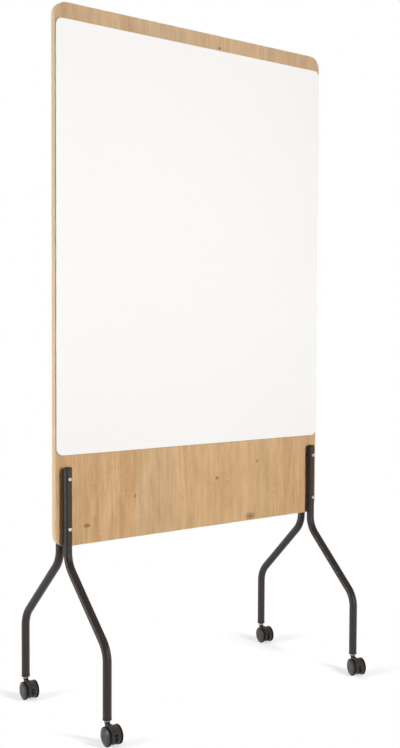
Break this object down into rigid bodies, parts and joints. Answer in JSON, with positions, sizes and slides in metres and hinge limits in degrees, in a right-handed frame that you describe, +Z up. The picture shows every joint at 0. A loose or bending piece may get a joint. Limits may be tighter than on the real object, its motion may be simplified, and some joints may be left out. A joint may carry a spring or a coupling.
{
  "type": "mobile whiteboard",
  "caption": "Free-standing mobile whiteboard: an upright oak-look panel with a white writing sheet, bolted between bent steel tube legs on braked swivel casters.",
  "frame": {"origin": "on the floor, under the middle of the part's outline with the casters trailing forward", "axes": "+Z up, writing side towards -Y, +X to the right of someone facing the writing side"},
  "size_m": [0.915, 0.4645, 1.818],
  "materials": {
    "oak_board": "matt oak-look board, grain upright",
    "oak_edge": "matt oak-look edge strip",
    "white_enamel": "smooth semi-gloss white enamel",
    "white_backer": "white-faced fibreboard",
    "foam_tape": "closed-cell foam with adhesive faces",
    "black_powder_coat": "satin black powder coat",
    "black_plastic": "moulded, finely textured",
    "wheel_plastic": "moulded, satin",
    "tread_rubber": "soft matt tread",
    "zinc_steel": "bright zinc plating"
  },
  "bodies": {
    "stand": {"panel_core": "oak_board", "edge_band": "oak_edge", "writing_surface": "white_enamel", "writing_board_backer": "white_backer", "mounting_tape": "foam_tape", "leg_bolts": "zinc_steel", "leg_sleeve_nuts": "zinc_steel", "leg_saddle_washers": "black_plastic", "stem_grip_rings": "zinc_steel", "left_front_leg": "black_powder_coat", "left_front_leg_cap": "black_plastic", "left_front_caster_socket": "black_plastic", "left_front_caster_stem": "zinc_steel", "left_rear_leg": "black_powder_coat", "left_rear_leg_cap": "black_plastic", "left_rear_caster_socket": "black_plastic", "left_rear_caster_stem": "zinc_steel", "right_front_leg": "black_powder_coat", "right_front_leg_cap": "black_plastic", "right_front_caster_socket": "black_plastic", "right_front_caster_stem": "zinc_steel", "right_rear_leg": "black_powder_coat", "right_rear_leg_cap": "black_plastic", "right_rear_caster_socket": "black_plastic", "right_rear_caster_stem": "zinc_steel"},
    "left_front_caster": {"left_front_caster_housing": "black_plastic", "left_front_caster_axle": "zinc_steel", "left_front_brake_pin": "zinc_steel"},
    "left_front_left_wheel": {"left_front_caster_left_wheel": "wheel_plastic", "left_front_caster_left_tread": "tread_rubber"},
    "left_front_right_wheel": {"left_front_caster_right_wheel": "wheel_plastic", "left_front_caster_right_tread": "tread_rubber"},
    "left_front_brake": {"left_front_brake_lever": "black_plastic"},
    "left_rear_caster": {"left_rear_caster_housing": "black_plastic", "left_rear_caster_axle": "zinc_steel", "left_rear_brake_pin": "zinc_steel"},
    "left_rear_left_wheel": {"left_rear_caster_left_wheel": "wheel_plastic", "left_rear_caster_left_tread": "tread_rubber"},
    "left_rear_right_wheel": {"left_rear_caster_right_wheel": "wheel_plastic", "left_rear_caster_right_tread": "tread_rubber"},
    "left_rear_brake": {"left_rear_brake_lever": "black_plastic"},
    "right_front_caster": {"right_front_caster_housing": "black_plastic", "right_front_caster_axle": "zinc_steel", "right_front_brake_pin": "zinc_steel"},
    "right_front_left_wheel": {"right_front_caster_left_wheel": "wheel_plastic", "right_front_caster_left_tread": "tread_rubber"},
    "right_front_right_wheel": {"right_front_caster_right_wheel": "wheel_plastic", "right_front_caster_right_tread": "tread_rubber"},
    "right_front_brake": {"right_front_brake_lever": "black_plastic"},
    "right_rear_caster": {"right_rear_caster_housing": "black_plastic", "right_rear_caster_axle": "zinc_steel", "right_rear_brake_pin": "zinc_steel"},
    "right_rear_left_wheel": {"right_rear_caster_left_wheel": "wheel_plastic", "right_rear_caster_left_tread": "tread_rubber"},
    "right_rear_right_wheel": {"right_rear_caster_right_wheel": "wheel_plastic", "right_rear_caster_right_tread": "tread_rubber"},
    "right_rear_brake": {"right_rear_brake_lever": "black_plastic"}
  },
  "joints": [
    {"name": "left_front_swivel", "type": "hinge", "parent": "stand", "child": "left_front_caster", "pos_m": [-0.4275, -0.1835, 0.051], "axis": [0, 0, 1], "continuous": true},
    {"name": "left_front_left_wheel_spin", "type": "hinge", "parent": "left_front_caster", "child": "left_front_left_wheel", "pos_m": [-0.42827, -0.20549, 0.024], "axis": [0.9994, -0.0349, 0], "continuous": true},
    {"name": "left_front_right_wheel_spin", "type": "hinge", "parent": "left_front_caster", "child": "left_front_right_wheel", "pos_m": [-0.42827, -0.20549, 0.024], "axis": [0.9994, -0.0349, 0], "continuous": true},
    {"name": "left_front_brake_press", "type": "hinge", "parent": "left_front_caster", "child": "left_front_brake", "pos_m": [-0.42874, -0.21898, 0.0285], "axis": [0.9994, -0.0349, 0], "range_deg": [0, 8]},
    {"name": "left_rear_swivel", "type": "hinge", "parent": "stand", "child": "left_rear_caster", "pos_m": [-0.4275, 0.2205, 0.051], "axis": [0, 0, 1], "continuous": true},
    {"name": "left_rear_left_wheel_spin", "type": "hinge", "parent": "left_rear_caster", "child": "left_rear_left_wheel", "pos_m": [-0.42865, 0.19853, 0.024], "axis": [0.9986, -0.0523, 0], "continuous": true},
    {"name": "left_rear_right_wheel_spin", "type": "hinge", "parent": "left_rear_caster", "child": "left_rear_right_wheel", "pos_m": [-0.42865, 0.19853, 0.024], "axis": [0.9986, -0.0523, 0], "continuous": true},
    {"name": "left_rear_brake_press", "type": "hinge", "parent": "left_rear_caster", "child": "left_rear_brake", "pos_m": [-0.42936, 0.18505, 0.0285], "axis": [0.9986, -0.0523, 0], "range_deg": [0, 8]},
    {"name": "right_front_swivel", "type": "hinge", "parent": "stand", "child": "right_front_caster", "pos_m": [0.4275, -0.1835, 0.051], "axis": [0, 0, 1], "continuous": true},
    {"name": "right_front_left_wheel_spin", "type": "hinge", "parent": "right_front_caster", "child": "right_front_left_wheel", "pos_m": [0.42107, -0.20454, 0.024], "axis": [0.9563, -0.2924, 0], "continuous": true},
    {"name": "right_front_right_wheel_spin", "type": "hinge", "parent": "right_front_caster", "child": "right_front_right_wheel", "pos_m": [0.42107, -0.20454, 0.024], "axis": [0.9563, -0.2924, 0], "continuous": true},
    {"name": "right_front_brake_press", "type": "hinge", "parent": "right_front_caster", "child": "right_front_brake", "pos_m": [0.41712, -0.21745, 0.0285], "axis": [0.9563, -0.2924, 0], "range_deg": [0, 8]},
    {"name": "right_rear_swivel", "type": "hinge", "parent": "stand", "child": "right_rear_caster", "pos_m": [0.4275, 0.2205, 0.051], "axis": [0, 0, 1], "continuous": true},
    {"name": "right_rear_left_wheel_spin", "type": "hinge", "parent": "right_rear_caster", "child": "right_rear_left_wheel", "pos_m": [0.42444, 0.19871, 0.024], "axis": [0.9903, -0.1392, 0], "continuous": true},
    {"name": "right_rear_right_wheel_spin", "type": "hinge", "parent": "right_rear_caster", "child": "right_rear_right_wheel", "pos_m": [0.42444, 0.19871, 0.024], "axis": [0.9903, -0.1392, 0], "continuous": true},
    {"name": "right_rear_brake_press", "type": "hinge", "parent": "right_rear_caster", "child": "right_rear_brake", "pos_m": [0.42256, 0.18535, 0.0285], "axis": [0.9903, -0.1392, 0], "range_deg": [0, 8]}
  ]
}
